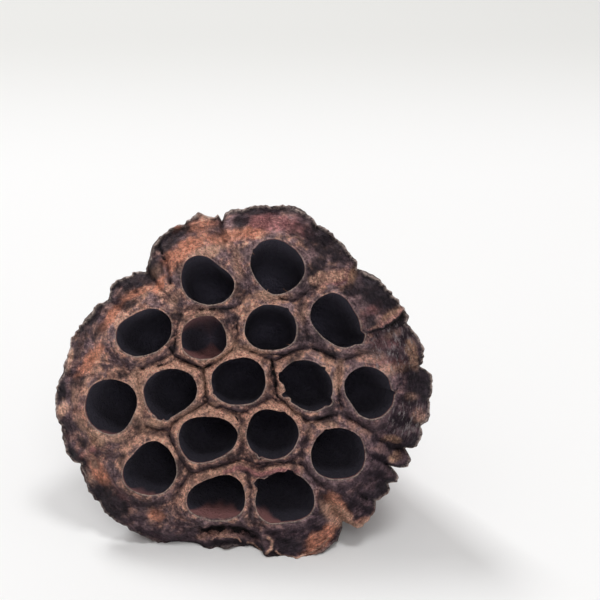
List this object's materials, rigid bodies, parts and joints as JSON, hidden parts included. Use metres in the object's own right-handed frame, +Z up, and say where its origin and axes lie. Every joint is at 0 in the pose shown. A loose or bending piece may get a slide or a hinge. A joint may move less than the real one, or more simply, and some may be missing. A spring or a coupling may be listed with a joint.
{
  "type": "dried lotus pod",
  "caption": "Dried lotus seed pod lying on its side: a broad face of open, empty seed cells, a wavy torn brim, a ribbed cone behind it and a short stub of the stem.",
  "frame": {"origin": "middle of the pod's box on the surface that it lies on", "axes": "+Z up, +Y from the seed face back to the stem, +X to the right as the seed face is looked at"},
  "size_m": [0.0898, 0.0992, 0.0751],
  "materials": {
    "dried_pod": "matte, leathery and wrinkled, dark brown with rust patches"
  },
  "bodies": {
    "root": {"lotus_pod": "dried_pod"}
  },
  "joints": []
}
